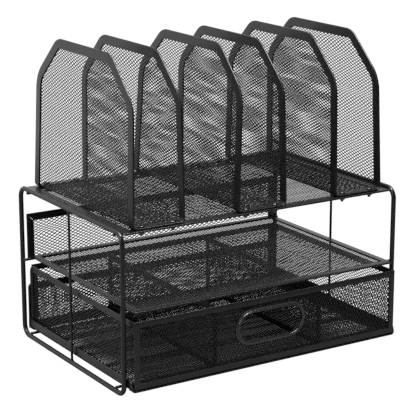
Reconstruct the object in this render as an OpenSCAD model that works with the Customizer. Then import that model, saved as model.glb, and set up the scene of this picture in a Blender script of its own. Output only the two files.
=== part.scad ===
// Desk organizer: two closed wire loops carry a sorter shelf, a middle tray and a
// base tray with a sliding drawer. Every panel is expanded-metal mesh in a folded hem.
// +Z is up, -Y is the drawer side, and the origin is under the centre of the whole object.

/* [Frame] */
// Width over both wire loops
frame_w = 335; // [300:1:380]
// Depth of each loop over its wire
frame_d = 225; // [200:1:260]
// Height of each loop
frame_h = 169.5; // [150:0.5:200]
// Diameter of the loop wire
wire_d = 5; // [4:0.5:6]
// Bend radius of the loop corners, to the wire's centre
loop_r = 11; // [8:1:16]
// Diameter of the upright stay in the middle of each loop
stay_d = 2.6; // [2:0.2:4]
// Diameter of the cross wires under the panels
cross_d = 3; // [2:0.5:4]
// Distance of the base and shelf cross wires from the loops' middle
cross_y = 94; // [60:1:95]

/* [Sheet] */
// Thickness of the mesh panels
mesh_t = 0.8; // [0.6:0.1:1.2]
// Thickness of a folded hem
hem_t = 2; // [1.6:0.1:2.4]
// Width of the hem on the trays and their backs
hem_w = 8; // [6:0.5:9]
// Width of the hem on the drawer's floor, walls and dividers
wall_hem_w = 6.5; // [5:0.5:8]
// Width of the hem on the sorter shelf
shelf_hem_w = 12; // [11:0.5:14]
// Width of the hem on the sorter walls
sorter_hem_w = 10; // [8:0.5:12]
// Width of the hem on the drawer front
front_hem_w = 6.5; // [5:0.5:8]

/* [Sorter] */
// Overall height of the organizer
total_h = 332; // [300:1:360]
// Width of one U-shaped sorter piece between its wall planes
sorter_w = 57.5; // [50:0.5:60]
// Spacing of the three sorter pieces
sorter_pitch = 121; // [112:1:124]
// Inward lean of the left and the right wall of each sorter piece, in degrees
left_sorter_lean = [1.8, 0.2];
middle_sorter_lean = [3.0, 0.4];
right_sorter_lean = [0.4, 1.4];
// Depth of a sorter wall at the shelf
sorter_foot_d = 212; // [190:1:214]
// Depth of a sorter wall at the start of its slanted corners
sorter_waist_d = 204; // [180:1:210]
// Depth of the level top of a sorter wall
sorter_top_d = 112; // [90:1:130]
// Height of the slanted corners
sorter_slant_h = 44; // [30:1:60]
// Rounding of the sorter wall's top corners, outside and round its mesh
sorter_r = 24; // [10:1:30]
sorter_window_r = 8; // [3:1:14]
// Rounding of the corners below its slanted edges, outside and round its mesh
sorter_waist_r = 36; // [20:1:80]
sorter_window_waist_r = 24; // [10:1:70]
// Distance of the sorter screws from the wall planes
screw_inset = 11; // [8:0.5:16]
// Distance of the sorter screws from the loops' middle
screw_y = 101; // [100:0.5:102]

/* [Tray] */
// Gap between the middle tray and each loop
tray_gap = 5; // [1:0.5:12]
// Height of the middle tray's underside
tray_z = 88; // [86:0.5:110]
// Reach of the tray in front of the front posts' centre line
tray_reach = 10.5; // [0:0.5:12]
// Gap between the mesh back and each loop
back_gap = 1.5; // [0.5:0.5:10]
// Height of the top of the mesh back
back_top_z = 137; // [110:1:150]

/* [Base] */
// Height of the top of the base tray's side flanges
flange_z = 20; // [14:1:30]
// Thickness of the side flanges
flange_t = 1.2; // [0.8:0.1:1.6]
// Height of the top of the base tray's back
base_back_z = 59; // [40:1:75]
// Distance of the base tray's back behind the front faces of the rear posts
base_back_set = 0.7; // [0:0.1:2]

/* [Drawer] */
// Height of the top of the drawer
drawer_top_z = 80.6; // [70:0.2:82]
// Reach of the drawer front in front of the front posts' centre line
drawer_reach = 12.2; // [8:0.2:14]
// Gap below the drawer
drawer_gap = 0.6; // [0.4:0.1:1]
// Gap beside and behind the drawer
drawer_side_gap = 1.2; // [0.6:0.1:2]
// Distance of the drawer's two dividers from its middle
divider_x = 64; // [50:1:80]
// Height of the dividers below the drawer's rim
divider_drop = 1.6; // [1:0.2:10]
// Width of the hand hole
hole_w = 77; // [60:1:100]
// Height of the hand hole
hole_h = 30; // [24:1:36]
// Height of the hand hole's centre
hole_z = 51; // [40:1:55]
// Width of the rolled ring round the hand hole
ring_w = 4; // [3:0.5:5]
// Height of the ring above the drawer front
ring_out = 1.5; // [1:0.1:2]

/* [Hidden] */
$fn = 48;

coat = [0.11, 0.11, 0.12];
black_oxide = [0.16, 0.16, 0.17];

wire_r = wire_d / 2;
cross_r = cross_d / 2;
loop_x = frame_w / 2 - wire_r;
post_gap = frame_d - wire_d;
// The object is deeper in front of the posts than behind them, so the loops sit behind the origin.
mid_y = (drawer_reach + ring_out - wire_r) / 2;
front_post_y = mid_y - post_gap / 2;
rear_post_y = mid_y + post_gap / 2;
rail_z = frame_h - wire_r;

// Width between the loops, and what the shelf and the base tray leave free at each side
inside_w = 2 * (loop_x - wire_r);
loose_fit = 0.1;

shelf_z = frame_h - wire_d;
shelf_w = inside_w - 2 * loose_fit;
shelf_end_gap = 1.5;
shelf_d = post_gap - 2 * shelf_end_gap;
sorter_z = shelf_z + hem_t;
sorter_x = [-sorter_pitch, 0, sorter_pitch];
sorter_leans = [left_sorter_lean, middle_sorter_lean, right_sorter_lean];

tray_w = inside_w - 2 * tray_gap;
back_w = inside_w - 2 * back_gap;
tray_y0 = front_post_y - tray_reach;
panel_back_y = rear_post_y - wire_r;
tray_y1 = panel_back_y - hem_t;
tray_wire_z = tray_z - cross_r;

base_z = wire_d + cross_d;
base_y0 = front_post_y - drawer_reach;
base_y1 = panel_back_y - hem_t + base_back_set;
base_w = inside_w - 2 * loose_fit - 2 * flange_t;
flange_setback = 3;
flange_r = 6;

drawer_w = base_w - 2 * drawer_side_gap;
drawer_z = base_z + hem_t + drawer_gap;
drawer_y0 = base_y0;
drawer_y1 = base_y1 - drawer_side_gap;
wall_y0 = drawer_y0 + hem_t;
wall_y1 = drawer_y1 - hem_t;
inner_x = drawer_w / 2 - hem_t;
rim_r = 8;

// Corner radii of the panels: at a front edge, on most panels, and on the base tray's back
front_r = 2;
panel_r = 3;
base_back_r = 5;

// The screws, their holes and their nuts
screw_r = 1.5;
screw_hole_r = 1.7;
nut_hole_r = 1.6;
screw_head_r = 3.4;
screw_head_top_r = 2.4;
screw_head_h = 1.6;
screw_tail = 4.6;
nut_af = 5.5;
nut_h = 2.4;

// How far a cross wire runs past the loops' middle planes, and a hole's cutter past the faces
cross_overhang = 1;
cut = 1;

// Inward unit normal of the edge from a to b, for points in anticlockwise order.
function inward(a, b) = [a[1] - b[1], b[0] - a[0]] / norm(b - a);
function at(points, i) = points[(i + len(points)) % len(points)];

// The convex outline moved inwards by w.
function inset(points, w) = [
    for (i = [0 : len(points) - 1])
        let (n1 = inward(at(points, i - 1), points[i]), n2 = inward(points[i], at(points, i + 1)))
        points[i] + (n1 + n2) * w / (1 + n1 * n2)
];

// The convex outline with each corner rounded to its own radius.
function rounded(points, radii, steps = 6) = [
    for (i = [0 : len(points) - 1])
        let (
            p = points[i],
            u = at(points, i - 1) - p,
            v = at(points, i + 1) - p,
            a = u / norm(u),
            b = v / norm(v),
            half = acos(a * b) / 2,
            r = radii[i],
            centre = p + (a + b) / norm(a + b) * r / sin(half),
            from = p + a * r / tan(half) - centre,
            turn = 180 - 2 * half
        )
        if (r <= 0) p
        else each [
            for (k = [0 : steps])
                let (t = turn * k / steps)
                centre + [from[0] * cos(t) - from[1] * sin(t), from[0] * sin(t) + from[1] * cos(t)]
        ]
];
function all(points, r) = [for (p = points) r];
function box(x0, x1, y0, y1) = [[x0, y0], [x1, y0], [x1, y1], [x0, y1]];

// A sheet in the plane of the outline, centred on that plane.
module sheet(t) {
    translate([0, 0, -t / 2]) linear_extrude(t) children();
}

// The two halves of a framed panel: the folded hem, and the mesh inside it.
module hem(points, radii, w) {
    sheet(hem_t) difference() {
        polygon(rounded(points, radii));
        polygon(inset(points, w));
    }
}
module mesh(points, w) {
    sheet(mesh_t) polygon(inset(points, w));
}

// Sheets drawn in X and Y, stood up across X (drawn in Y and Z) or across Y (drawn in X and Z).
module level(z) {
    translate([0, 0, z + hem_t / 2]) children();
}
module across_x(x) {
    translate([x, 0, 0]) rotate([90, 0, 90]) children();
}
module across_y(y) {
    translate([0, y, 0]) rotate([90, 0, 0]) children();
}

// A straight wire of length l from the given end, along X, Y or Z.
module wire_x(x, y, z, l, d) {
    translate([x, y, z]) rotate([0, 90, 0]) cylinder(h = l, d = d);
}
module wire_y(x, y, z, l, d) {
    translate([x, y, z]) rotate([-90, 0, 0]) cylinder(h = l, d = d);
}
module wire_z(x, y, z, l, d) {
    translate([x, y, z]) cylinder(h = l, d = d);
}

// ---- Wire frame ----

// One closed loop: four straight runs and four bends.
module loop(x) {
    color(coat) {
        for (z = [wire_r, rail_z])
            wire_y(x, front_post_y + loop_r, z, post_gap - 2 * loop_r, wire_d);
        for (y = [front_post_y, rear_post_y])
            wire_z(x, y, wire_r + loop_r, rail_z - wire_r - 2 * loop_r, wire_d);
        for (side = [-1, 1], up = [-1, 1]) {
            y = mid_y + side * (post_gap / 2 - loop_r);
            z = up > 0 ? rail_z - loop_r : wire_r + loop_r;
            turn = side > 0 ? (up > 0 ? 0 : 270) : (up > 0 ? 90 : 180);
            translate([x, y, z]) rotate([90, 0, 90]) rotate([0, 0, turn])
                rotate_extrude(angle = 90) translate([loop_r, 0]) circle(d = wire_d);
        }
    }
}
module left_loop() { loop(-loop_x); }
module right_loop() { loop(loop_x); }

module stay(x) {
    color(coat) wire_z(x, mid_y, wire_d, rail_z - wire_r - wire_d, stay_d);
}
module left_stay() { stay(-loop_x); }
module right_stay() { stay(loop_x); }

// A wire across both loops.
module cross_wire(y, z) {
    reach = loop_x + cross_overhang;
    color(coat) wire_x(-reach, y, z, 2 * reach, cross_d);
}
module base_front_wire() { cross_wire(mid_y - cross_y, wire_d + cross_r); }
module base_rear_wire() { cross_wire(mid_y + cross_y, wire_d + cross_r); }
module shelf_front_wire() { cross_wire(mid_y - cross_y, shelf_z - cross_r); }
module shelf_rear_wire() { cross_wire(mid_y + cross_y, shelf_z - cross_r); }
module tray_front_wire() { cross_wire(front_post_y + wire_r + cross_r, tray_wire_z); }
module tray_rear_wire() { cross_wire(rear_post_y - wire_r - cross_r, tray_wire_z); }

// ---- Base tray ----

base_points = box(-base_w / 2, base_w / 2, base_y0, base_y1);
base_back_points = box(-base_w / 2, base_w / 2, base_z, base_back_z);

module base_mesh() { color(coat) level(base_z) mesh(base_points, hem_w); }
module base_hem() { color(coat) level(base_z) hem(base_points, [front_r, front_r, 0, 0], hem_w); }

module flange(side) {
    points = box(base_y0 + flange_setback, base_y1, base_z, flange_z);
    color(coat) across_x(side * (base_w + flange_t) / 2)
        sheet(flange_t) polygon(rounded(points, [0, 0, 0, flange_r]));
}
module base_left_flange() { flange(-1); }
module base_right_flange() { flange(1); }

module base_back_mesh() { color(coat) across_y(base_y1 + hem_t / 2) mesh(base_back_points, hem_w); }
module base_back_hem() {
    color(coat) across_y(base_y1 + hem_t / 2)
        hem(base_back_points, [0, 0, base_back_r, base_back_r], hem_w);
}

// ---- Middle tray and its back ----

tray_points = box(-tray_w / 2, tray_w / 2, tray_y0, tray_y1);
back_points = box(-back_w / 2, back_w / 2, tray_z, back_top_z);

module tray_mesh() { color(coat) level(tray_z) mesh(tray_points, hem_w); }
module tray_hem() { color(coat) level(tray_z) hem(tray_points, [panel_r, panel_r, 0, 0], hem_w); }

// The mesh back has no hem along the tray: its mesh runs on to the bottom edge.
back_window = box(-back_w / 2 + hem_w, back_w / 2 - hem_w, tray_z, back_top_z - hem_w);
module back_mesh() { color(coat) across_y(panel_back_y - hem_t / 2) mesh(back_window, 0); }
module back_hem() {
    color(coat) across_y(panel_back_y - hem_t / 2) sheet(hem_t) difference() {
        polygon(rounded(back_points, [0, 0, panel_r, panel_r]));
        hull() for (down = [0, cut]) translate([0, -down]) polygon(back_window);
    }
}

// ---- Sorter shelf ----

shelf_points = box(-shelf_w / 2, shelf_w / 2, mid_y - shelf_d / 2, mid_y + shelf_d / 2);

// One child at each screw place of one sorter piece.
module at_screws(x) {
    for (side = [-1, 1], end = [-1, 1])
        translate([x + side * (sorter_w / 2 - screw_inset), mid_y + end * screw_y, 0]) children();
}

module screw_holes() {
    for (x = sorter_x)
        at_screws(x) translate([0, 0, shelf_z - cut]) cylinder(h = 2 * (hem_t + cut), r = screw_hole_r);
}

module shelf_mesh() { color(coat) level(shelf_z) mesh(shelf_points, shelf_hem_w); }
module shelf_hem() {
    color(coat) difference() {
        level(shelf_z) hem(shelf_points, all(shelf_points, panel_r), shelf_hem_w);
        screw_holes();
    }
}

// ---- Sorter pieces ----

// Outline of a sorter wall in Y and height above its foot, with its foot edge at the given height.
function wall_points(foot) = [
    [mid_y - sorter_foot_d / 2, foot],
    [mid_y + sorter_foot_d / 2, foot],
    [mid_y + sorter_waist_d / 2, total_h - sorter_z - sorter_slant_h],
    [mid_y + sorter_top_d / 2, total_h - sorter_z],
    [mid_y - sorter_top_d / 2, total_h - sorter_z],
    [mid_y - sorter_waist_d / 2, total_h - sorter_z - sorter_slant_h]
];
wall_window = inset(wall_points(-sorter_hem_w), sorter_hem_w);
function wall_radii(waist_r, top_r) = [0, 0, waist_r, top_r, top_r, waist_r];
wall_edge = rounded(wall_points(0), wall_radii(sorter_waist_r, sorter_r));
window_edge = rounded(wall_window, wall_radii(sorter_window_waist_r, sorter_window_r));

// Stands each wall of the numbered sorter piece on its foot line, leaning inwards.
module at_walls(number) {
    for (side = [0, 1])
        translate([sorter_x[number] + (side - 0.5) * sorter_w, 0, sorter_z])
            rotate([0, (1 - 2 * side) * sorter_leans[number][side], 0]) rotate([90, 0, 90]) children();
}

module sorter_mesh(number) {
    x = sorter_x[number];
    half = sorter_w / 2;
    reach = sorter_foot_d / 2 - sorter_hem_w;
    color(coat) {
        at_walls(number) sheet(mesh_t) polygon(window_edge);
        level(sorter_z) sheet(mesh_t) polygon(box(x - half, x + half, mid_y - reach, mid_y + reach));
    }
}

module sorter_hem(number) {
    x = sorter_x[number];
    half = sorter_w / 2;
    color(coat) difference() {
        union() {
            at_walls(number) sheet(hem_t) difference() {
                polygon(wall_edge);
                polygon(window_edge);
            }
            for (y = [mid_y - sorter_foot_d / 2, mid_y + sorter_foot_d / 2 - sorter_hem_w])
                translate([x - half, y, sorter_z]) cube([sorter_w, sorter_hem_w, hem_t]);
        }
        screw_holes();
    }
}

module left_sorter_mesh() { sorter_mesh(0); }
module left_sorter_hem() { sorter_hem(0); }
module middle_sorter_mesh() { sorter_mesh(1); }
module middle_sorter_hem() { sorter_hem(1); }
module right_sorter_mesh() { sorter_mesh(2); }
module right_sorter_hem() { sorter_hem(2); }

// Pan-head screws through the sorter pieces and the shelf, and the nuts below them.
module sorter_screws() {
    color(black_oxide) for (x = sorter_x) at_screws(x) {
        translate([0, 0, shelf_z - screw_tail]) cylinder(h = screw_tail + 2 * hem_t, r = screw_r);
        translate([0, 0, sorter_z + hem_t])
            cylinder(h = screw_head_h, r1 = screw_head_r, r2 = screw_head_top_r);
    }
}
module sorter_nuts() {
    color(black_oxide) for (x = sorter_x) at_screws(x)
        translate([0, 0, shelf_z - nut_h]) difference() {
            cylinder(h = nut_h, d = nut_af / cos(30), $fn = 6);
            translate([0, 0, -cut]) cylinder(h = nut_h + 2 * cut, r = nut_hole_r);
        }
}

// ---- Drawer ----

floor_points = box(-inner_x, inner_x, wall_y0, wall_y1);
side_points = box(wall_y0, drawer_y1, drawer_z, drawer_top_z);
rear_points = box(-inner_x, inner_x, drawer_z, drawer_top_z);
front_points = box(-drawer_w / 2, drawer_w / 2, drawer_z, drawer_top_z);
divider_points = box(wall_y0, wall_y1, drawer_z + hem_t, drawer_top_z - divider_drop);

module drawer_floor_mesh() { color(coat) level(drawer_z) mesh(floor_points, wall_hem_w); }
module drawer_floor_hem() {
    color(coat) level(drawer_z) hem(floor_points, all(floor_points, 0), wall_hem_w);
}

module side_mesh(side) { color(coat) across_x(side * (inner_x + hem_t / 2)) mesh(side_points, wall_hem_w); }
module side_hem(side) {
    color(coat) across_x(side * (inner_x + hem_t / 2)) hem(side_points, [0, 0, rim_r, 0], wall_hem_w);
}
module drawer_left_mesh() { side_mesh(-1); }
module drawer_left_hem() { side_hem(-1); }
module drawer_right_mesh() { side_mesh(1); }
module drawer_right_hem() { side_hem(1); }

module drawer_rear_mesh() { color(coat) across_y(wall_y1 + hem_t / 2) mesh(rear_points, wall_hem_w); }
module drawer_rear_hem() {
    color(coat) across_y(wall_y1 + hem_t / 2) hem(rear_points, all(rear_points, 0), wall_hem_w);
}

// A slot shape with round ends, centred on the hand hole.
module stadium(w, h) {
    translate([0, hole_z]) {
        square([w - h, h], center = true);
        for (side = [-1, 1]) translate([side * (w - h) / 2, 0]) circle(d = h);
    }
}

module drawer_front_mesh() {
    color(coat) across_y(drawer_y0 + hem_t / 2) sheet(mesh_t) difference() {
        polygon(inset(front_points, front_hem_w));
        stadium(hole_w + 2 * ring_w, hole_h + 2 * ring_w);
    }
}
module drawer_front_hem() {
    color(coat) across_y(drawer_y0 + hem_t / 2) hem(front_points, all(front_points, front_r), front_hem_w);
}
module handle_ring() {
    color(coat) across_y(drawer_y0 + hem_t / 2) sheet(hem_t + 2 * ring_out) difference() {
        stadium(hole_w + 2 * ring_w, hole_h + 2 * ring_w);
        stadium(hole_w, hole_h);
    }
}

module divider_mesh(side) { color(coat) across_x(side * divider_x) mesh(divider_points, wall_hem_w); }
module divider_hem(side) {
    color(coat) across_x(side * divider_x) hem(divider_points, [0, 0, panel_r, panel_r], wall_hem_w);
}
module left_divider_mesh() { divider_mesh(-1); }
module left_divider_hem() { divider_hem(-1); }
module right_divider_mesh() { divider_mesh(1); }
module right_divider_hem() { divider_hem(1); }

left_loop();
right_loop();
left_stay();
right_stay();
base_front_wire();
base_rear_wire();
tray_front_wire();
tray_rear_wire();
shelf_front_wire();
shelf_rear_wire();
base_mesh();
base_hem();
base_left_flange();
base_right_flange();
base_back_mesh();
base_back_hem();
tray_mesh();
tray_hem();
back_mesh();
back_hem();
shelf_mesh();
shelf_hem();
left_sorter_mesh();
left_sorter_hem();
middle_sorter_mesh();
middle_sorter_hem();
right_sorter_mesh();
right_sorter_hem();
sorter_screws();
sorter_nuts();
drawer_floor_mesh();
drawer_floor_hem();
drawer_left_mesh();
drawer_left_hem();
drawer_right_mesh();
drawer_right_hem();
drawer_rear_mesh();
drawer_rear_hem();
drawer_front_mesh();
drawer_front_hem();
handle_ring();
left_divider_mesh();
left_divider_hem();
right_divider_mesh();
right_divider_hem();
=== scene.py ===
import math

import bpy
import numpy as np
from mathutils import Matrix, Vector


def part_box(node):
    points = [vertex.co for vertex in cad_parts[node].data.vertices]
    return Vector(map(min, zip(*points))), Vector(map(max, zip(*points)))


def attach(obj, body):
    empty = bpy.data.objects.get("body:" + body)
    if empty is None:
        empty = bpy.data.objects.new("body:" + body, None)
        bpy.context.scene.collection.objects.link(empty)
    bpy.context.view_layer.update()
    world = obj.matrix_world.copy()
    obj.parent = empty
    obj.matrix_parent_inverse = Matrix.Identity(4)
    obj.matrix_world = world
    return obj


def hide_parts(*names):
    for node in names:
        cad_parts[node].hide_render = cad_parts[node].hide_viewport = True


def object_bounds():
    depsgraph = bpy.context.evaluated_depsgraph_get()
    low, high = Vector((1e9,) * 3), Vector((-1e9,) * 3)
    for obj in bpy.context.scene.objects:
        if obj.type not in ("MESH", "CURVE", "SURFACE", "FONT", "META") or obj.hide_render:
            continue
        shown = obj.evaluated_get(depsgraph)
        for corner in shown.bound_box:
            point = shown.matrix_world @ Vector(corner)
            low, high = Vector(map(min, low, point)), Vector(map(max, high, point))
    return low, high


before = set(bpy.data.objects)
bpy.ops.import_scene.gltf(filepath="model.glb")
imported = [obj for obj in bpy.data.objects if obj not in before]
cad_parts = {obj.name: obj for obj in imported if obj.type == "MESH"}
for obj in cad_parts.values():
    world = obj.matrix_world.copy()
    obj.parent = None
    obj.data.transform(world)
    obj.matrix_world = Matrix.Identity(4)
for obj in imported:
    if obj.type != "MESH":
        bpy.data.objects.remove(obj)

# The looks of the desk organizer: expanded-metal panels with folded hems on bent wire loops.
# Shapes are worked out in millimetres from the frame's boxes, and made in metres.

MM = 0.001
cad_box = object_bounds()

# ---- Sizes, in millimetres ----

# Expanded metal: pitch of the diamonds, half the size of a hole, sheet thickness, twist of a strand.
PITCH_LONG, PITCH_SHORT = 6.4, 3.3
HOLE_LONG, HOLE_SHORT = 2.42, 1.2
STRAND_T = 0.36
STRAND_TWIST = 0.07
# Unevenness of its rows: wavelengths across the rows and how far each wave moves them, then the
# most that the rows slope, and that the waves lean.
ROW_WAVES = ((9.0, 0.08), (13.0, 0.16), (19.0, 0.26), (31.0, 0.3), (60.0, 0.4))
ROW_SLOPE = 0.008
ROW_LEAN = 0.06

# Folded hem: half the slot that grips the mesh, and the bevel at the inner edge.
SLOT = 0.45
HEM_BEVEL = 0.25
# An open mitre: how far in it starts, and how much each of its sides draws back for each mm further.
MITRE_START = 1.0
MITRE_SPREAD = 0.0875
# The mesh in a hem: how far inside the fold it ends, how deep the centres of its last holes lie in
# the hem, how far its edge may stop short of them, and how near a bare edge it runs.
MESH_EDGE = 1.2
GRIP = 3.4
EDGE_STRAND = 0.5
BARE_EDGE = 0.3

# Corner radii of the panels, the least radius left by an inset, and the steps of a corner.
PANEL_R = 3.0
FRONT_R = 2.0
BASE_BACK_R = 5.0
RIM_R = 8.0
SORTER_R, SORTER_INNER_R = 24.0, 8.0
SORTER_WAIST_R = 36.0
FLANGE_R = 6.0
SHARPEST_R = 0.4
ARC_STEPS = 8

# Sorter pieces: inward lean of the left and right walls in degrees, bend into the base, and the
# shape of the slanted corners.
SORTER_LEANS = {"left_sorter": (1.8, 0.2), "middle_sorter": (3.0, 0.4), "right_sorter": (0.4, 1.4)}
SORTER_BEND = 4.5
SORTER_TAPER = 4.0
SORTER_TOP_HALF = 56.0
SORTER_SLANT = 44.0
BASE_BEND = 2.6
BEND_STEPS = 8
# Points nearer than this along an edge are taken as one.
CLOSE = 0.05

# Ring round the hand hole: its width, the radius and turn of its rolled lip, the height of its
# flange, the bevel at its edges, and the steps of a round end and of a straight.
RING_W = 4.0
LIP_R = 1.05
LIP_TURN = math.radians(150)
LIP_STEPS = 8
FLANGE_TOP = 1.15
FLANGE_BEVEL = 0.3
END_STEPS = 25
STRAIGHT_STEPS = 8
# How far the mesh and the centres of its holes may reach in over the ring's middle line.
RING_MESH, RING_CENTRES = 1.6, 1.0

# Wires: bend of the loops' corners and its steps, steps of a rail, and sides of the wires.
LOOP_BEND = 11.0
BEND_TURNS = 12
RAIL_STEPS = 25
LOOP_SIDES, WIRE_SIDES = 24, 20
# The loops' butt weld: how far from the rear end, half its length, and how much it stands out.
BUTT_FROM_END, BUTT_HALF, BUTT_RISE = 60.0, 5.0, 0.12
# Stays: how far a welded end sinks into the loop, and how much it flares.
WELD_SINK = 0.5
WELD_FLARE = 0.7
# Cross wires: depth of the domed end and the size of its flat tip, as shares of the radius.
DOME_DEPTH, DOME_TIP = 0.5, 0.3
# Weld beads of the cross wires, half their sizes, beside a post and above or below a rail.
POST_BEAD, RAIL_BEAD = (1.5, 0.8, 1.6), (1.4, 1.7, 0.8)
BEAD_SIDES, BEAD_RISES = 12, 7
BEAD_TIP = 0.15

# Screws: head, the straight rim under its dome, how far the dome draws in, and how much its top is
# crowned.
HEAD_R, HEAD_H = 3.4, 1.6
HEAD_RIM, HEAD_DRAW, HEAD_CROWN = 0.55, 1.1, 0.1
SHANK_R = 1.5
TIP_BEVEL = 0.5
SCREW_SIDES = 64
# Cross recess: half an arm's length and width, depth, and the slope of its walls.
RECESS_ARM, RECESS_HALF, RECESS_DEPTH, RECESS_SLOPE = 1.9, 0.42, 0.9, 0.3
# How much each screw is turned from the last.
FIRST_TURN, NEXT_TURN = 0.4, 1.1
# Nuts: across the flats, sides of a round, chamfer at the corners and at the bore, play in the bore.
NUT_ACROSS = 5.5
NUT_SIDES = 48
NUT_CHAMFER, BORE_CHAMFER, BORE_PLAY = 0.35, 0.2, 0.05


def span(node):
    """Lowest and highest corner of a CAD node, in millimetres."""
    lo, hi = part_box(node)
    return np.array(lo) / MM, np.array(hi) / MM


# ---- Meshes ----

def make_piece(name, points, faces, material, body, slot, nodes, sharp=None):
    """A piece from points in millimetres and arrays of faces, riding its body in place of the nodes.
    Edges sharper than the angle sharp stay crisp, and the rest is smooth."""
    used, faces = used_points(len(points), faces)
    mesh = bpy.data.meshes.new(name)
    counts = [np.full(len(f), f.shape[1]) for f in faces]
    corners = np.concatenate([f.ravel() for f in faces])
    totals = np.concatenate(counts)
    mesh.vertices.add(len(used))
    mesh.vertices.foreach_set("co", (points[used] * MM).astype(np.float32).ravel())
    mesh.loops.add(len(corners))
    mesh.loops.foreach_set("vertex_index", corners.astype(np.int32))
    mesh.polygons.add(len(totals))
    starts = np.concatenate([[0], np.cumsum(totals)[:-1]])
    mesh.polygons.foreach_set("loop_start", starts.astype(np.int32))
    mesh.polygons.foreach_set("use_smooth", np.ones(len(totals), bool))
    mesh.update(calc_edges=True)
    mesh.validate()
    if sharp is not None:
        mesh.set_sharp_from_angle(angle=sharp)
    mesh.materials.append(material)
    piece = bpy.data.objects.new(name, mesh)
    bpy.context.scene.collection.objects.link(piece)
    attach(piece, body)
    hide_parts(*nodes)


def used_points(count, faces):
    """The points that the faces use, and the faces renumbered to them."""
    faces = [np.asarray(f, int) for f in faces if len(f)]
    used = np.unique(np.concatenate([f.ravel() for f in faces]))
    number = np.full(count, -1)
    number[used] = np.arange(len(used))
    return used, [number[f] for f in faces]


def joined(shapes):
    """Several (points, faces) as one."""
    points, faces, count = [], [], 0
    for shape_points, shape_faces in shapes:
        points.append(shape_points)
        faces += [np.asarray(f, int) + count for f in shape_faces]
        count += len(shape_points)
    return np.vstack(points), faces


def grid_faces(rows, columns, closed_rows=True, closed_columns=True, breaks=()):
    """Quads of a grid of points numbered row by row, leaving out the column steps in breaks."""
    row = np.arange(rows if closed_rows else rows - 1)
    column = np.array([c for c in range(columns if closed_columns else columns - 1) if c not in breaks])
    r, c = (a.ravel() for a in np.meshgrid(row, column, indexing="ij"))
    r2, c2 = (r + 1) % rows, (c + 1) % columns
    return np.column_stack([r * columns + c, r2 * columns + c, r2 * columns + c2, r * columns + c2])


# ---- Outlines ----

def box_outline(lo, hi):
    return np.array([[lo[0], lo[1]], [hi[0], lo[1]], [hi[0], hi[1]], [lo[0], hi[1]]], float)


def unit(v):
    return v / np.linalg.norm(v)


def left_of(v):
    return np.array([-v[1], v[0]])


def turned(v, angle):
    c, s = math.cos(angle), math.sin(angle)
    return np.array([c * v[0] - s * v[1], s * v[0] + c * v[1]])


def edge_frames(outline):
    """(start, inward normal) of each edge of an anticlockwise outline."""
    ends = np.roll(outline, -1, axis=0)
    return [(a, left_of(unit(b - a))) for a, b in zip(outline, ends)]


def insets_of(points, outline):
    """How far each point is inside each edge of the outline."""
    return np.stack([(points - a) @ n for a, n in edge_frames(outline)])


def ring(outline, radii, inset, mitres=(), bare=(), tighter=1.0):
    """The stations of an outline moved inwards, and the stations after which the hem has a break.
    Corners are rounded, or cut open at a mitre, or end square beside a bare edge. The radii shrink
    by tighter for each unit of inset."""
    stations, breaks = [], []
    for i, here in enumerate(outline):
        along_in = unit(here - outline[i - 1])
        along_out = unit(outline[(i + 1) % len(outline)] - here)
        n_in, n_out = left_of(along_in), left_of(along_out)
        corner = here + (n_in + n_out) * inset / (1 + n_in @ n_out)
        turn = math.acos(np.clip(along_in @ along_out, -1, 1))
        edge_in = (i - 1) % len(outline)
        if edge_in in bare and i in bare:
            continue
        if edge_in in bare:
            stations.append(here + n_out * inset)
        elif i in bare:
            breaks.append(len(stations))
            stations.append(here + n_in * inset)
        elif i in mitres:
            open_by = MITRE_SPREAD * max(inset - MITRE_START, 0)
            breaks.append(len(stations))
            stations += [corner - along_in * open_by, corner + along_out * open_by]
        elif radii[i] > 0:
            r = max(radii[i] - inset * tighter, SHARPEST_R)
            centre = corner - along_in * r * math.tan(turn / 2) + n_in * r
            stations += [centre - turned(n_in, turn * k / ARC_STEPS) * r for k in range(ARC_STEPS + 1)]
        else:
            stations.append(corner)
    return np.array(stations), breaks


# ---- Folded hem ----

def hem_profile(width, thickness):
    """Cross-section of a hem as (inset, height): round at the fold, open to the mesh inside."""
    half = thickness / 2
    front = [(width, SLOT), (width, half - HEM_BEVEL), (width - HEM_BEVEL, half)]
    fold = [
        (half - half * math.sin(a), half * math.cos(a))
        for a in np.linspace(0, math.pi, 9)
    ]
    back = [(inset, -height) for inset, height in reversed(front)]
    return front + fold + back + [(half, -SLOT), (half, SLOT)]


def hem_shape(outline, radii, width, thickness, place, mitres=(), bare=(), tighter=1.0):
    """A hem swept round the outline and set in place."""
    profile = hem_profile(width, thickness)
    points, breaks = [], []
    for inset, height in profile:
        stations, breaks = ring(outline, radii, inset, mitres, bare, tighter)
        points.append(place(stations, np.full(len(stations), height)))
    count = len(points[0])
    faces = [grid_faces(len(profile), count, breaks=breaks)]
    level = np.arange(len(profile)) * count
    for stop in breaks:
        faces.append((level + stop)[None, :])
        faces.append((level + (stop + 1) % count)[None, ::-1])
    return np.vstack(points), faces


# ---- Expanded metal ----

RIGHT, TOP, LEFT, BOTTOM = range(4)
CORNERS = np.array([[HOLE_LONG, 0], [0, HOLE_SHORT], [-HOLE_LONG, 0], [0, -HOLE_SHORT]])
TWIST = STRAND_TWIST * np.array([0, 1, 0, -1])
UNEVEN = np.random.default_rng(11)
# A normal with more than this along an axis is taken to point along it.
ALONG = 0.99


def uneven_rows(points):
    """Moves the rows of a lattice a little, each panel in its own way, as the slitting press leaves them."""
    long, short = points[..., 0], points[..., 1]
    shift = UNEVEN.uniform(-1, 1) * ROW_SLOPE * long
    for length, most in ROW_WAVES:
        phase = UNEVEN.uniform(0, 2 * math.pi)
        lean = UNEVEN.uniform(-ROW_LEAN, ROW_LEAN)
        shift = shift + most * np.sin(2 * math.pi * (short + lean * long) / length + phase)
    return np.stack([long, short + shift], axis=-1)


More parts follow.
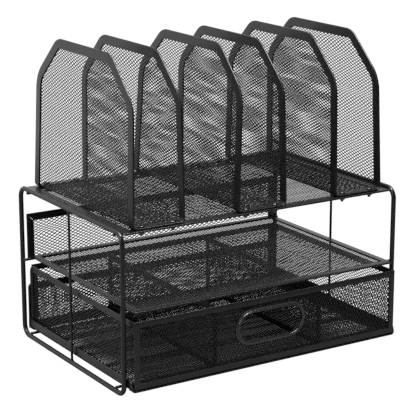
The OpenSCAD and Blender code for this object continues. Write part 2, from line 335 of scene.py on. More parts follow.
def strand_faces(number):
    """Faces between the holes of a lattice, from the grid of hole numbers, -1 where there is none."""
    wide, high = number.shape
    core = (slice(1, wide - 1), slice(1, high - 1))

    def beside(i, j):
        return number[1 + i : wide - 1 + i, 1 + j : high - 1 + j].ravel()

    here = number[core].ravel()
    above, below = beside(1, 1), beside(1, -1)
    up = (here >= 0) & (above >= 0)
    down = (here >= 0) & (below >= 0)
    hole, next_up, next_down = 4 * here, 4 * above, 4 * below
    rising = np.column_stack([hole + RIGHT, next_up + BOTTOM, next_up + LEFT, hole + TOP])[up]
    falling = np.column_stack([hole + BOTTOM, next_down + LEFT, next_down + TOP, hole + RIGHT])[down]
    around = [(beside(-1, 0), RIGHT), (beside(0, -1), TOP), (beside(1, 0), LEFT), (beside(0, 1), BOTTOM)]
    bond = np.column_stack([4 * hole_number + corner for hole_number, corner in around])
    there = np.column_stack([hole_number >= 0 for hole_number, _ in around])
    between = here < 0
    whole = bond[between & there.all(1)]
    partial = between & (there.sum(1) == 3)
    threes = bond[partial][there[partial]].reshape(-1, 3)
    return [np.vstack([rising, falling, whole]), threes]


def solid_sheet(faces, count):
    """Front faces of a sheet with its back faces and the walls of its holes."""
    edges = np.vstack([np.column_stack([f.ravel(), np.roll(f, -1, axis=1).ravel()]) for f in faces])
    forward = edges[:, 0] * count + edges[:, 1]
    backward = edges[:, 1] * count + edges[:, 0]
    a, b = edges[~np.isin(forward, backward)].T
    walls = np.column_stack([b, a, a + count, b + count])
    return faces + [f[:, ::-1] + count for f in faces] + [walls]


def lattice_shape(outline, width, place, long_way, hole=None, bare_axis=None):
    """Expanded metal that fills the outline as far as the hem hides its edge. long_way is 0 or 1.
    It runs to the edge where coordinate bare_axis is lowest, which has no hem."""
    lo, hi = outline.min(0), outline.max(0)
    size = hi - lo
    across = size[long_way]
    up = size[1 - long_way]
    columns = 2 * math.ceil(across / PITCH_LONG) + 3
    rows = 2 * math.ceil(up / PITCH_SHORT) + 3
    i, j = np.meshgrid(np.arange(columns) - columns // 2, np.arange(rows) - rows // 2, indexing="ij")
    flat = np.column_stack([i.ravel() * PITCH_LONG / 2, j.ravel() * PITCH_SHORT / 2])

    def laid(points):
        if long_way == 1:
            points = np.column_stack([-points[..., 1].ravel(), points[..., 0].ravel()])
        return points.reshape(-1, 2) + (lo + hi) / 2

    edges = edge_frames(outline)
    bare = np.array([bare_axis is not None and normal[bare_axis] > ALONG for _, normal in edges])
    reach = np.where(bare, BARE_EDGE + 1, width - GRIP)
    limits = np.where(bare, BARE_EDGE, max(MESH_EDGE, width - GRIP - HOLE_LONG - EDGE_STRAND))
    centres = laid(flat)
    keep = (insets_of(centres, outline) >= reach[:, None]).all(0) & ((i + j).ravel() % 2 == 0)
    if hole:
        keep &= hole(centres) >= -RING_CENTRES
    number = np.full(columns * rows, -1)
    number[keep] = np.arange(keep.sum())
    number = np.pad(number.reshape(columns, rows), 2, constant_values=-1)
    points = laid(uneven_rows((flat[keep][:, None, :] + CORNERS[None]).reshape(-1, 2)))
    for (start, normal), limit in zip(edges, limits):
        short = np.maximum(limit - (points - start) @ normal, 0)
        points = points + short[:, None] * normal
    if hole:
        points = pushed_out(points, hole)
    twist = np.tile(TWIST, keep.sum())
    faces = [f for f in strand_faces(number) if len(f)]
    front = place(points, twist + STRAND_T / 2)
    back = place(points, twist - STRAND_T / 2)
    return np.vstack([front, back]), solid_sheet(faces, len(points))


def pushed_out(points, distance, step=0.01):
    """Points moved out of a hole until they reach in no further than the ring hides."""
    gap = np.maximum(-RING_MESH - distance(points), 0)
    slope = np.column_stack([
        distance(points + np.array([step, 0])) - distance(points - np.array([step, 0])),
        distance(points + np.array([0, step])) - distance(points - np.array([0, step])),
    ]) / (2 * step)
    return points + gap[:, None] * slope


# ---- Places: flat coordinates and a height to the shared frame ----

def level(z):
    return lambda p, h: np.column_stack([p[:, 0], p[:, 1], z + h])


def across_x(x):
    return lambda p, h: np.column_stack([x + h, p[:, 0], p[:, 1]])


def across_y(y):
    return lambda p, h: np.column_stack([p[:, 0], y - h, p[:, 1]])


def bent_up(x, z, half_flats, radius, turns):
    """A sheet in X and Y whose two sides are bent up, each after its half_flat and by its own turn."""
    def place(p, h):
        side = (p[:, 0] > 0).astype(int)
        flat, turn = np.array(half_flats)[side], np.array(turns)[side]
        reach = np.abs(p[:, 0])
        angle = np.clip((reach - flat) / radius, 0, turn)
        wall = np.maximum(reach - flat - radius * turn, 0)
        out = np.minimum(reach, flat) + (radius - h) * np.sin(angle) + wall * np.cos(turn)
        rise = radius - (radius - h) * np.cos(angle) + wall * np.sin(turn)
        return np.column_stack([x + np.sign(p[:, 0]) * out, p[:, 1], z + rise])
    return place


def bend_points(start, end, half_flats, radius, turns):
    """Points along a straight edge, with extra ones through its bends."""
    steps = np.linspace(0, 1, BEND_STEPS + 1)
    left, right = [flat + radius * turn * steps for flat, turn in zip(half_flats, turns)]
    stops = np.concatenate([right, -left])
    low, high = sorted([start[0], end[0]])
    stops = np.sort(stops[(stops > low + CLOSE) & (stops < high - CLOSE)])
    if end[0] < start[0]:
        stops = stops[::-1]
    share = (stops - start[0]) / (end[0] - start[0])
    return [start + t * (end - start) for t in share]


def with_bends(corners, radii, half_flats, radius, turns):
    """The outline and radii with the points of bend_points added along its edges."""
    points, rounds = [], []
    for i, corner in enumerate(corners):
        points.append(corner)
        rounds.append(radii[i])
        after = corners[(i + 1) % len(corners)]
        if abs(after[0] - corner[0]) > CLOSE:
            extra = bend_points(corner, after, half_flats, radius, turns)
            points += extra
            rounds += [0] * len(extra)
    return np.array(points), rounds


# ---- Materials ----

def new_material(name):
    material = bpy.data.materials.new(name)
    material.use_nodes = True
    nodes = material.node_tree.nodes
    nodes.clear()
    out = nodes.new("ShaderNodeOutputMaterial")
    shader = nodes.new("ShaderNodeBsdfPrincipled")
    material.node_tree.links.new(shader.outputs["BSDF"], out.inputs["Surface"])
    return material, nodes, material.node_tree.links, shader


def noise(nodes, links, where, scale, detail=4.0, rough=0.55):
    node = nodes.new("ShaderNodeTexNoise")
    node.inputs["Scale"].default_value = scale
    node.inputs["Detail"].default_value = detail
    node.inputs["Roughness"].default_value = rough
    links.new(where, node.inputs["Vector"])
    return node.outputs["Fac"]


def ramp(nodes, links, source, stops):
    """A colour ramp with (position, grey or colour) stops."""
    node = nodes.new("ShaderNodeValToRGB")
    elements = node.color_ramp.elements
    while len(elements) < len(stops):
        elements.new(0.5)
    for element, (position, colour) in zip(elements, stops):
        element.position = position
        rgb = colour if isinstance(colour, tuple) else (colour, colour, colour)
        element.color = (*rgb, 1)
    links.new(source, node.inputs["Fac"])
    return node.outputs["Color"]


# The colour sockets of a Mix node, which have no names of their own.
MIX_A, MIX_B, MIX_RESULT = 6, 7, 2
DUST_GREY = (0.05, 0.05, 0.052)
PEEL_DEPTH, TURNING_DEPTH = 0.05 * MM, 0.02 * MM


def powder_coat(name, dark, light, smooth, rough, peel, gloss):
    """Black satin powder coat: cloudy colour between dark and light, gloss between smooth and rough,
    specks of dust, and a fine orange peel."""
    material, nodes, links, shader = new_material(name)
    shader.inputs["Specular IOR Level"].default_value = gloss
    where = nodes.new("ShaderNodeTexCoord").outputs["Object"]
    clouds = noise(nodes, links, where, 55)
    grain = noise(nodes, links, where, 1400, detail=2)
    specks = noise(nodes, links, where, 420, detail=3, rough=0.7)
    colour = ramp(nodes, links, clouds, [(0.3, dark), (0.7, light)])
    dust = ramp(nodes, links, specks, [(0.68, 0.0), (0.8, 1.0)])
    mix = nodes.new("ShaderNodeMix")
    mix.data_type = "RGBA"
    links.new(dust, mix.inputs["Factor"])
    links.new(colour, mix.inputs[MIX_A])
    mix.inputs[MIX_B].default_value = (*DUST_GREY, 1)
    links.new(mix.outputs[MIX_RESULT], shader.inputs["Base Color"])
    links.new(ramp(nodes, links, specks, [(0.25, smooth), (0.75, rough)]), shader.inputs["Roughness"])
    bump = nodes.new("ShaderNodeBump")
    bump.inputs["Strength"].default_value = peel
    bump.inputs["Distance"].default_value = PEEL_DEPTH
    links.new(grain, bump.inputs["Height"])
    links.new(bump.outputs["Normal"], shader.inputs["Normal"])
    return material


def black_oxide(name):
    """Blackened steel with fine turning marks and worn patches."""
    material, nodes, links, shader = new_material(name)
    where = nodes.new("ShaderNodeTexCoord").outputs["Object"]
    patches = noise(nodes, links, where, 600)
    marks = noise(nodes, links, where, 4000, detail=1)
    links.new(ramp(nodes, links, patches, [(0.3, (0.05, 0.05, 0.055)), (0.7, (0.14, 0.14, 0.145))]),
              shader.inputs["Base Color"])
    links.new(ramp(nodes, links, patches, [(0.3, 0.2), (0.7, 0.38)]), shader.inputs["Roughness"])
    shader.inputs["Metallic"].default_value = 1.0
    bump = nodes.new("ShaderNodeBump")
    bump.inputs["Strength"].default_value = 0.2
    bump.inputs["Distance"].default_value = TURNING_DEPTH
    links.new(marks, bump.inputs["Height"])
    links.new(bump.outputs["Normal"], shader.inputs["Normal"])
    return material


COAT_SHEET = powder_coat("coat_on_sheet", 0.005, 0.01, 0.24, 0.36, 0.4, 0.45)
COAT_MESH = powder_coat("coat_on_mesh", 0.004, 0.008, 0.34, 0.46, 0.25, 0.3)
COAT_WIRE = powder_coat("coat_on_wire", 0.005, 0.01, 0.2, 0.32, 0.3, 0.45)
COAT_RING = powder_coat("coat_on_ring", 0.006, 0.012, 0.14, 0.24, 0.2, 0.9)
BLACK_STEEL = black_oxide("black_oxide")
CRISP = math.radians(40)


# ---- Panels ----

def panel(stem, body, place_kind, radii, long_way, mitres=(), bare=(), hole=None):
    """The expanded metal and the folded hem of the nodes stem_mesh and stem_hem. A bare edge has
    no hem: 0 is the lowest edge, and 3 the one where the other coordinate is lowest."""
    lo, hi = span(f"{stem}_hem")
    mesh_lo, _ = span(f"{stem}_mesh")
    axes, deep, placed_at = {
        "level": ([0, 1], 2, level),
        "across_x": ([1, 2], 0, across_x),
        "across_y": ([0, 2], 1, across_y),
    }[place_kind]
    outline = box_outline(lo[axes], hi[axes])
    width = mesh_lo[axes[0]] - lo[axes[0]]
    thickness = hi[deep] - lo[deep]
    place = placed_at((lo[deep] + hi[deep]) / 2)
    bare_axis = {0: 1, 3: 0}[bare[0]] if bare else None
    lattice = lattice_shape(ring(outline, radii, 0)[0], width, place, long_way, hole, bare_axis)
    make_piece(f"{stem}_lattice", *lattice, COAT_MESH, body, "coated_mesh", [f"{stem}_mesh"])
    hem = hem_shape(outline, radii, width, thickness, place, mitres, bare)
    make_piece(f"{stem}_folded_hem", *hem, COAT_SHEET, body, "coated_sheet", [f"{stem}_hem"], CRISP)


def sorter(stem):
    """A U-shaped sorter piece: one sheet bent up at both sides, with one hem round it."""
    lo, hi = span(f"{stem}_hem")
    mesh_lo, _ = span(f"{stem}_mesh")
    width = mesh_lo[1] - lo[1]
    thickness = span("tray_hem")[1][2] - span("tray_hem")[0][2]
    mid_x, mid_y = (lo[0] + hi[0]) / 2, (lo[1] + hi[1]) / 2
    leans = np.radians(SORTER_LEANS[stem])
    turns = math.pi / 2 + leans
    foot_x = (hi[0] - lo[0]) / 2 - thickness / 2
    tangents = SORTER_BEND * np.tan(turns / 2)
    half_flats = foot_x - tangents - thickness / 2 * np.sin(leans)
    # How far along the sheet from its middle a wall's height is.
    foot_s = half_flats + SORTER_BEND * turns - thickness / 2 - tangents
    tall = hi[2] - lo[2]
    foot = (hi[1] - lo[1]) / 2
    rim = [(0, foot), (tall - SORTER_SLANT, foot - SORTER_TAPER), (tall, SORTER_TOP_HALF)]
    corners = []
    for side in (1, -1):
        start = foot_s[1 if side > 0 else 0]
        half = [(start + height, -y) for height, y in rim]
        half += [(start + height, y) for height, y in reversed(rim)]
        corners += [(side * s, mid_y + side * y) for s, y in half]
    corners = np.array(corners)
    radii = [0, SORTER_WAIST_R, SORTER_R, SORTER_R, SORTER_WAIST_R, 0] * 2
    bends = half_flats, SORTER_BEND, turns
    place = bent_up(mid_x, lo[2] + thickness / 2, *bends)
    outline, rounds = with_bends(corners, radii, *bends)
    tighter = (SORTER_R - SORTER_INNER_R) / width
    lattice = lattice_shape(ring(corners, radii, 0)[0], width, place, 1)
    make_piece(f"{stem}_lattice", *lattice, COAT_MESH, "frame", "coated_mesh", [f"{stem}_mesh"])
    hem = hem_shape(outline, rounds, width, thickness, place, tighter=tighter)
    make_piece(f"{stem}_folded_hem", *hem, COAT_SHEET, "frame", "coated_sheet", [f"{stem}_hem"], CRISP)


def base_tray():
    """The base tray: a mesh floor whose sides are bent up, with one hem round it."""
    lo, hi = span("base_hem")
    flange_lo, flange_hi = span("base_right_flange")
    width = span("base_mesh")[0][0] - lo[0]
    thickness = hi[2] - lo[2]
    turn = math.pi / 2
    half_flat = flange_hi[0] - thickness / 2 - BASE_BEND
    floor_z = (lo[2] + hi[2]) / 2
    top_s = half_flat + BASE_BEND * turn + flange_hi[2] - floor_z - BASE_BEND
    corners = np.array([
        (-half_flat, lo[1]), (half_flat, lo[1]), (top_s, flange_lo[1]),
        (top_s, hi[1]), (-top_s, hi[1]), (-top_s, flange_lo[1]),
    ])
    radii = [FRONT_R, FRONT_R, FLANGE_R, 0, 0, FLANGE_R]
    bends = [half_flat] * 2, BASE_BEND, [turn] * 2
    place = bent_up(0, floor_z, *bends)
    outline, rounds = with_bends(corners, radii, *bends)
    lattice = lattice_shape(ring(corners, radii, 0)[0], width, place, 0)
    make_piece("base_lattice", *lattice, COAT_MESH, "frame", "coated_mesh", ["base_mesh"])
    hem = hem_shape(outline, rounds, width, thickness, place)
    make_piece("base_folded_hem", *hem, COAT_SHEET, "frame", "coated_sheet",
               ["base_hem", "base_left_flange", "base_right_flange"], CRISP)


# ---- Wires ----

def tube_shape(path, radii, closed=False, sides=WIRE_SIDES):
    """A round tube along the path, with its own radius at each point. Open ends are closed flat."""
    path = np.asarray(path, float)
    count = len(path)
    radii = np.broadcast_to(radii, (count,))
    if closed:
        tangents = np.roll(path, -1, axis=0) - np.roll(path, 1, axis=0)
    else:
        tangents = np.gradient(path, axis=0)
    tangents /= np.linalg.norm(tangents, axis=1)[:, None]
    helper = np.array([1.0, 0, 0]) if abs(tangents[0][0]) < 0.5 else np.array([0, 0, 1.0])
    side = np.cross(tangents, helper)
    side /= np.linalg.norm(side, axis=1)[:, None]
    other = np.cross(tangents, side)
    angle = 2 * math.pi * np.arange(sides) / sides
    circle = np.cos(angle)[None, :, None] * side[:, None] + np.sin(angle)[None, :, None] * other[:, None]
    points = (path[:, None] + radii[:, None, None] * circle).reshape(-1, 3)
    faces = [grid_faces(count, sides, closed_rows=closed)[:, ::-1]]
    if not closed:
        faces.append(np.arange(sides)[None, ::-1])
        faces.append((np.arange(sides) + (count - 1) * sides)[None, :])
    return points, faces


def rod_path(start, end, radius, sink, flare):
    """A straight rod's points and radii: domed ends, or flared ones where it is welded."""
    start, end = np.array(start, float), np.array(end, float)
    length = np.linalg.norm(end - start)
    if flare:
        near = np.array([-sink, 0, 0.4, 0.9, 1.6])
        swell = radius + flare * np.array([1.0, 0.9, 0.5, 0.15, 0])
    else:
        a = np.linspace(math.pi / 2, 0.15, 6)
        near = DOME_DEPTH * radius * (1 - np.sin(a))
        swell = radius * np.cos(a)
        swell[0] = radius * DOME_TIP
    middle = np.linspace(0, 1, 9)[1:-1] * length
    along = np.concatenate([near, middle, length - near[::-1]])
    radii = np.concatenate([swell, np.full(len(middle), radius), swell[::-1]])
    return start + along[:, None] * unit(end - start), radii


def loop_wire(node):
    """A closed loop of round wire with bent corners and a ground butt weld in its bottom rail."""
    lo, hi = span(node)
    radius = (hi[0] - lo[0]) / 2
    x = (lo[0] + hi[0]) / 2
    outline = box_outline(lo[1:] + radius, hi[1:] - radius)
    path = []
    for i, here in enumerate(outline):
        along = unit(here - outline[i - 1])
        centre = here - along * LOOP_BEND + left_of(along) * LOOP_BEND
        turns = np.linspace(0, math.pi / 2, BEND_TURNS + 1)
        path += [centre - turned(left_of(along), turn) * LOOP_BEND for turn in turns]
        after = outline[(i + 1) % 4]
        start, end = path[-1], after - unit(after - here) * LOOP_BEND
        path += [start + (end - start) * t for t in np.linspace(0, 1, RAIL_STEPS + 1)[1:-1]]
    path = np.array(path)
    at_weld = np.abs(path[:, 0] - (hi[1] - BUTT_FROM_END)) < BUTT_HALF
    radii = np.where(at_weld & (path[:, 1] < lo[2] + 2 * radius), radius + BUTT_RISE, radius)
    points = np.column_stack([np.full(len(path), x), path])
    tube = tube_shape(points, radii, closed=True, sides=LOOP_SIDES)
    make_piece(f"{node}_wire", *tube, COAT_WIRE, "frame", "coated_wire", [node])


def bead(centre, size):
    """A small weld bead, an ellipsoid half sunk into the wires it joins."""
    polar = np.linspace(BEAD_TIP, math.pi - BEAD_TIP, BEAD_RISES)
    around = 2 * math.pi * np.arange(BEAD_SIDES) / BEAD_SIDES
    p, a = (g.ravel() for g in np.meshgrid(polar, around, indexing="ij"))
    ball = np.column_stack([np.sin(p) * np.cos(a), np.sin(p) * np.sin(a), np.cos(p)])
    rim = np.arange(BEAD_SIDES)
    faces = [
        grid_faces(BEAD_RISES, BEAD_SIDES, closed_rows=False),
        rim[None, :],
        (rim + (BEAD_RISES - 1) * BEAD_SIDES)[None, ::-1],
    ]
    return ball * np.array(size) + np.array(centre), faces


def stay_wire(node):
    lo, hi = span(node)
    radius = (hi[0] - lo[0]) / 2
    x, y = (lo[0] + hi[0]) / 2, (lo[1] + hi[1]) / 2
    path, radii = rod_path((x, y, lo[2]), (x, y, hi[2]), radius, WELD_SINK, WELD_FLARE)
    make_piece(f"{node}_wire", *tube_shape(path, radii), COAT_WIRE, "frame", "coated_wire", [node])


def cross_wire(node):
    """A wire across both loops, with a weld bead where it meets each."""
    lo, hi = span(node)
    radius = (hi[2] - lo[2]) / 2
    y, z = (lo[1] + hi[1]) / 2, (lo[2] + hi[2]) / 2
    path, radii = rod_path((lo[0], y, z), (hi[0], y, z), radius, 0, 0)
    shapes = [tube_shape(path, radii)]
    loop_lo, loop_hi = span("right_loop")
    loop_x = (loop_lo[0] + loop_hi[0]) / 2
    wire_r = (loop_hi[0] - loop_lo[0]) / 2
    contacts = {
        "base": (0, -radius), "shelf": (0, radius),
        "tray": (math.copysign(radius, y), 0),
    }
    off_y, off_z = contacts[node.split("_")[0]]
    for side in (-1, 1):
        size = POST_BEAD if off_y else RAIL_BEAD
        shapes.append(bead((side * (loop_x - 0.1 * wire_r), y + off_y, z + off_z), size))
    points, faces = joined(shapes)
    make_piece(f"{node}_rod", points, faces, COAT_WIRE, "frame", "coated_wire", [node], CRISP)


# ---- Screws and nuts ----

def lathe(profile, sides):
    """A solid of revolution about Z from (radius, height) points, bottom first."""
    angle = 2 * math.pi * np.arange(sides) / sides
    rings = [
        np.column_stack([r * np.cos(angle), r * np.sin(angle), np.full(sides, z)])
        for r, z in profile
    ]
    return np.vstack(rings), [
        grid_faces(len(profile), sides, closed_rows=False)[:, ::-1],
        np.arange(sides)[None, ::-1],
        (np.arange(sides) + (len(profile) - 1) * sides)[None, :],
    ]


def screw_shape(shank_z, head_z):
    """A pan-head screw with a cross recess, standing on its head's underside at head_z."""
    tip_z = shank_z - head_z
    shoulder_z = HEAD_H - HEAD_CROWN
    profile = [(SHANK_R - TIP_BEVEL, tip_z), (SHANK_R, tip_z + TIP_BEVEL), (SHANK_R, -0.05)]
    profile += [(HEAD_R - 0.15, 0), (HEAD_R, 0.2), (HEAD_R, HEAD_RIM)]
    for a in np.linspace(0.25, 1.0, 5):
        rise = (shoulder_z - HEAD_RIM) * math.sin(a * math.pi / 2)
        profile.append((HEAD_R - HEAD_DRAW * a**2, HEAD_RIM + rise))
    for r in np.linspace(profile[-1][0] - 0.2, 0.12, 16):
        profile.append((r, shoulder_z + HEAD_CROWN * (1 - (r / HEAD_R) ** 2)))
    points, faces = lathe(profile, SCREW_SIDES)
    x, y, z = points.T
    on_top = z > shoulder_z - 0.15
    arm = np.minimum(
        np.maximum(np.abs(x) - RECESS_HALF, np.abs(y) - RECESS_ARM),
        np.maximum(np.abs(y) - RECESS_HALF, np.abs(x) - RECESS_ARM),
    )
    depth = RECESS_DEPTH * np.clip(0.5 - arm / RECESS_SLOPE, 0, 1)
    points[:, 2] = np.where(on_top, z - depth, z) + head_z
    return points, faces


def nut_shape(z0, z1):
    """A hexagon nut with chamfered corners and a bore."""
    flat = NUT_ACROSS / 2
    angle = 2 * math.pi * np.arange(NUT_SIDES) / NUT_SIDES
    hexagon = flat / np.cos((angle + math.pi / 6) % (math.pi / 3) - math.pi / 6)
    bore = SHANK_R + BORE_PLAY
    rims = [
        (bore, z0 + BORE_CHAMFER), (flat, z0), (hexagon, z0 + NUT_CHAMFER),
        (hexagon, z1 - NUT_CHAMFER), (flat, z1), (bore, z1 - BORE_CHAMFER),
    ]
    rings = [
        np.column_stack([r * np.cos(angle), r * np.sin(angle), np.full(NUT_SIDES, z)])
        for r, z in rims
    ]
    return np.vstack(rings), [grid_faces(len(rims), NUT_SIDES)[:, ::-1]]


def fasteners():
    """The screws of the three sorter pieces, and their nuts under the shelf."""
    lo, hi = span("sorter_screws")
    nut_lo, nut_hi = span("sorter_nuts")
    head_z = hi[2] - HEAD_H
    hems = [span(f"{side}_sorter_hem") for side in ("left", "middle", "right")]
    middles = [(hem_lo[0] + hem_hi[0]) / 2 for hem_lo, hem_hi in hems]
    off_x = hi[0] - HEAD_R - middles[-1]
    ends_y = (lo[1] + HEAD_R, hi[1] - HEAD_R)
    places = [(x + side * off_x, y) for x in middles for side in (-1, 1) for y in ends_y]
    screws, nuts = [], []
    for number, (x, y) in enumerate(places):
        angle = FIRST_TURN + NEXT_TURN * number
        c, s = math.cos(angle), math.sin(angle)
        spin = np.array([[c, -s, 0], [s, c, 0], [0, 0, 1]])
        for shapes, (points, faces) in (
            (screws, screw_shape(lo[2], head_z)),
            (nuts, nut_shape(nut_lo[2], nut_hi[2])),
        ):
            shapes.append((points @ spin.T + np.array([x, y, 0]), faces))
    for name, shapes, node in (
        ("sorter_screw_set", screws, "sorter_screws"),
        ("sorter_nut_set", nuts, "sorter_nuts"),
    ):
        make_piece(name, *joined(shapes), BLACK_STEEL, "frame", "fastener_steel", [node], CRISP)


# ---- Hand hole ----

def stadium_distance(centre, half_straight, radius):
    """How far points are outside a slot shape with round ends; below zero inside it."""
    def distance(points):
        offset = points - centre
        beyond = np.maximum(np.abs(offset[:, 0]) - half_straight, 0)
        return np.hypot(beyond, offset[:, 1]) - radius
    return distance


def hand_hole():
    """Centre, half the straight run and the radius of the middle line of the ring."""
    lo, hi = span("handle_ring")
    half_wide, half_high = (hi[0] - lo[0]) / 2, (hi[2] - lo[2]) / 2
    centre = np.array([(lo[0] + hi[0]) / 2, (lo[2] + hi[2]) / 2])
    return centre, half_wide - half_high, half_high - RING_W / 2


def ring_section(deep):
    """Half the cross-section of the ring, as distance outwards from the hole's edge and height above
    the middle plane: a rolled lip at the hole, and a flat flange round it."""
    lip = [
        (LIP_R * (1 - math.cos(a)), deep - LIP_R + LIP_R * math.sin(a))
        for a in np.linspace(0, LIP_TURN, LIP_STEPS)
    ]
    flange = [
        (2 * LIP_R + 0.1, FLANGE_TOP),
        (RING_W - FLANGE_BEVEL, FLANGE_TOP),
        (RING_W, FLANGE_TOP - FLANGE_BEVEL),
    ]
    return [(0.0, FLANGE_BEVEL)] + lip + flange + [(RING_W, FLANGE_BEVEL)]


def handle_ring():
    """The rolled metal ring round the hand hole."""
    lo, hi = span("handle_ring")
    centre, half_straight, radius = hand_hole()
    middle_y = (lo[1] + hi[1]) / 2
    front = ring_section((hi[1] - lo[1]) / 2)
    section = front + [(out, -off) for out, off in reversed(front)]
    stations = []
    for side in (1, -1):
        for a in side * np.linspace(-math.pi / 2, math.pi / 2, END_STEPS):
            stations.append((side * half_straight, side * math.cos(a), math.sin(a)))
        for share in np.linspace(0, 1, STRAIGHT_STEPS)[1:-1]:
            stations.append((side * half_straight * (1 - 2 * share), 0.0, float(side)))
    points = []
    for out, off in section:
        r = radius - RING_W / 2 + out
        points += [(centre[0] + x + r * c, middle_y - off, centre[1] + r * s) for x, c, s in stations]
    faces = [grid_faces(len(section), len(stations))]
    shape = np.array(points), faces
    make_piece("handle_rolled_ring", *shape, COAT_RING, "drawer", "coated_sheet", ["handle_ring"], CRISP)


# ---- The object ----

for name in ("left_loop", "right_loop"):
    loop_wire(name)
for name in ("left_stay", "right_stay"):
    stay_wire(name)
for shelf in ("base", "tray", "shelf"):
    for end in ("front", "rear"):
        cross_wire(f"{shelf}_{end}_wire")

base_tray()
panel("base_back", "frame", "across_y", [0, 0, BASE_BACK_R, BASE_BACK_R], 0)
panel("tray", "frame", "level", [0, 0, 0, 0], 0, mitres=(0, 1))
panel("back", "frame", "across_y", [0, 0, 0, 0], 0, mitres=(2, 3), bare=(0,))
panel("shelf", "frame", "level", [PANEL_R] * 4, 0)
for place_name in ("left", "middle", "right"):
    sorter(f"{place_name}_sorter")
fasteners()

RING_DISTANCE = stadium_distance(*hand_hole())
panel("drawer_floor", "drawer", "level", [0] * 4, 0)
panel("drawer_left", "drawer", "across_x", [0, 0, RIM_R, 0], 0, bare=(3,))
panel("drawer_right", "drawer", "across_x", [0, 0, RIM_R, 0], 0, bare=(3,))
panel("drawer_rear", "drawer", "across_y", [0] * 4, 0)
panel("drawer_front", "drawer", "across_y", [0, 0, 0, 0], 1, mitres=(2, 3), hole=RING_DISTANCE)
handle_ring()
for place_name in ("left", "right"):
    panel(f"{place_name}_divider", "drawer", "across_x", [0, 0, PANEL_R, PANEL_R], 0)


# ---- Floor, light and camera ----

# Metres, from here on.
FLOOR_RADIUS = 0.9
FLOOR_SIDES = 96
# How far inside the object's outline the shadow painted on the floor begins, how soft its edge is, and its
# tone.
PAINTED_SHADOW_INSET, PAINTED_SHADOW_EDGE = 0.03, 0.02
PAINTED_SHADOW_TONE = 0.12
# The floor as the light finds it, with painted light, lighter near the object and darker further out:
# (distance from the object, tone).
PAINTED_LIGHT_FLOOR_TONES = [(0.0, 0.25), (0.15, 0.18)]
# The surroundings as the light finds them: from the far side (0) to the bright side (1).
BRIGHT_SIDE = (-0.25, 0.95, 0.1)
ROOM_TONES = [(0.3, 0.04), (0.6, 0.2), (0.85, 0.9)]
SOFT_BOXES = {
    # name: place, target, size, watts
    "soft_box_left": ((-1.5, -0.2, 0.9), (0, 0, 0.15), (1.0, 1.0), 9),
    "soft_box_front": ((0.1, -0.5, 1.9), (0, 0, 0.1), (1.6, 0.12), 34),
    "soft_box_above": ((-0.2, -0.1, 1.7), (0, 0, 0.1), (1.3, 1.3), 42),
}


def seen_or_lit(nodes, links, seen, lit, output):
    """Shows one shader to the eye and another to the light that bounces."""
    path = nodes.new("ShaderNodeLightPath")
    mix = nodes.new("ShaderNodeMixShader")
    links.new(path.outputs["Is Camera Ray"], mix.inputs["Fac"])
    links.new(lit, mix.inputs[1])
    links.new(seen, mix.inputs[2])
    links.new(mix.outputs["Shader"], output)


def painted_floor_shadow(nodes, links):
    """Painted shadow: white, but dark where the object stands over the floor; and the distance from the
    object.
    """
    lo, hi = np.array(cad_box)
    where = nodes.new("ShaderNodeTexCoord").outputs["Object"]
    size = nodes.new("ShaderNodeVectorMath")
    size.operation = "ABSOLUTE"
    links.new(where, size.inputs[0])
    beyond = nodes.new("ShaderNodeVectorMath")
    beyond.operation = "SUBTRACT"
    links.new(size.outputs["Vector"], beyond.inputs[0])
    beyond.inputs[1].default_value = Vector(((hi - lo) / 2).tolist())
    parts = nodes.new("ShaderNodeSeparateXYZ")
    links.new(beyond.outputs["Vector"], parts.inputs["Vector"])
    outside = nodes.new("ShaderNodeMath")
    outside.operation = "SMOOTH_MAX"
    outside.inputs[2].default_value = PAINTED_SHADOW_EDGE
    links.new(parts.outputs["X"], outside.inputs[0])
    links.new(parts.outputs["Y"], outside.inputs[1])
    depth = nodes.new("ShaderNodeMapRange")
    depth.inputs["From Min"].default_value = -PAINTED_SHADOW_INSET - PAINTED_SHADOW_EDGE
    depth.inputs["From Max"].default_value = -PAINTED_SHADOW_INSET
    links.new(outside.outputs["Value"], depth.inputs["Value"])
    # Painted shadow: the floor's colour falls to a dark tone under the object.
    painted_shadow = ramp(nodes, links, depth.outputs["Result"], [(0.0, PAINTED_SHADOW_TONE), (1.0, 1.0)])
    return painted_shadow, outside.outputs["Value"]


def studio_floor():
    """A plain pale floor that fades into the backdrop, with a shadow painted under the object."""
    mesh = bpy.data.meshes.new("floor")
    turn = 2 * math.pi * np.arange(FLOOR_SIDES) / FLOOR_SIDES
    rim = np.column_stack([np.cos(turn), np.sin(turn), np.zeros(FLOOR_SIDES)]) * FLOOR_RADIUS
    mesh.from_pydata(rim.tolist(), [], [list(range(FLOOR_SIDES))])
    floor = bpy.data.objects.new("studio_floor", mesh)
    bpy.context.scene.collection.objects.link(floor)
    material = bpy.data.materials.new("floor_white_with_painted_shadow")
    material.use_nodes = True
    nodes, links = material.node_tree.nodes, material.node_tree.links
    nodes.clear()
    out = nodes.new("ShaderNodeOutputMaterial")
    white = nodes.new("ShaderNodeEmission")
    painted_shadow, near = painted_floor_shadow(nodes, links)
    # The floor's colour to the eye carries a shadow painted under the object.
    links.new(painted_shadow, white.inputs["Color"])
    pale = nodes.new("ShaderNodeBsdfDiffuse")
    # Painted light: to the light that bounces, the floor is lighter near the object than further out.
    links.new(ramp(nodes, links, near, PAINTED_LIGHT_FLOOR_TONES), pale.inputs["Color"])
    seen_or_lit(nodes, links, white.outputs["Emission"], pale.outputs["BSDF"], out.inputs["Surface"])
    mesh.materials.append(material)


def area_light(name, place, target, size, watts):
    data = bpy.data.lights.new(name, "AREA")
    data.shape = "RECTANGLE"
    data.size, data.size_y = size
    data.energy = watts
    light = bpy.data.objects.new(name, data)
    light.location = place
    light.rotation_euler = (Vector(target) - Vector(place)).to_track_quat("-Z", "Y").to_euler()
    bpy.context.scene.collection.objects.link(light)


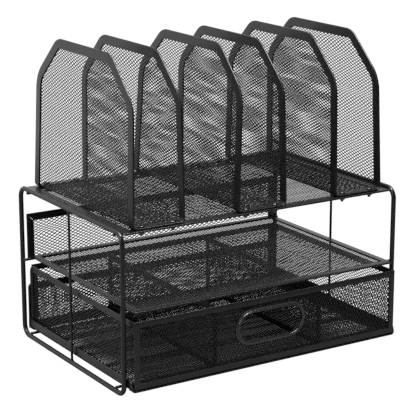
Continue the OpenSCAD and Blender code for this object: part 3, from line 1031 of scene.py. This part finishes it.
def studio_light():
    """White surroundings for the eye, a dim room brighter at the back for the light, and soft
    boxes above, in front and to the left."""
    world = bpy.data.worlds.new("studio")
    bpy.context.scene.world = world
    world.use_nodes = True
    nodes, links = world.node_tree.nodes, world.node_tree.links
    nodes.clear()
    seen = nodes.new("ShaderNodeBackground")
    seen.inputs["Color"].default_value = (1, 1, 1, 1)
    way = nodes.new("ShaderNodeTexCoord").outputs["Generated"]
    towards = nodes.new("ShaderNodeVectorMath")
    towards.operation = "DOT_PRODUCT"
    links.new(way, towards.inputs[0])
    towards.inputs[1].default_value = Vector(BRIGHT_SIDE).normalized() * 0.5
    shifted = nodes.new("ShaderNodeMath")
    shifted.operation = "ADD"
    links.new(towards.outputs["Value"], shifted.inputs[0])
    shifted.inputs[1].default_value = 0.5
    room = nodes.new("ShaderNodeBackground")
    links.new(ramp(nodes, links, shifted.outputs["Value"], ROOM_TONES), room.inputs["Color"])
    out = nodes.new("ShaderNodeOutputWorld")
    seen_or_lit(nodes, links, seen.outputs["Background"], room.outputs["Background"], out.inputs["Surface"])
    for name, (place, target, size, watts) in SOFT_BOXES.items():
        area_light(name, place, target, size, watts)


# The photograph's view: direction from the object, distance, focal length in mm, and its centre.
VIEW_AZIMUTH = math.radians(-32.34)
VIEW_ELEVATION = math.radians(15.03)
VIEW_DISTANCE = 1.692
VIEW_LENS = 137.3
VIEW_TARGET = Vector((0.0015, 0.0056, 0.1444))


def studio_camera():
    data = bpy.data.cameras.new("camera")
    data.sensor_width = 36.0
    data.lens = VIEW_LENS
    data.clip_start, data.clip_end = 0.1, 30
    camera = bpy.data.objects.new("camera", data)
    back = Vector((
        math.sin(VIEW_AZIMUTH) * math.cos(VIEW_ELEVATION),
        -math.cos(VIEW_AZIMUTH) * math.cos(VIEW_ELEVATION),
        math.sin(VIEW_ELEVATION),
    ))
    camera.location = VIEW_TARGET + VIEW_DISTANCE * back
    camera.rotation_euler = (-back).to_track_quat("-Z", "Y").to_euler()
    bpy.context.scene.collection.objects.link(camera)
    bpy.context.scene.camera = camera


studio_floor()
studio_light()
studio_camera()
bpy.context.scene.view_settings.view_transform = "Standard"
# The denoiser would smear the mesh.
bpy.context.scene.cycles.use_denoising = False
bpy.context.scene.cycles.filter_width = 1.4
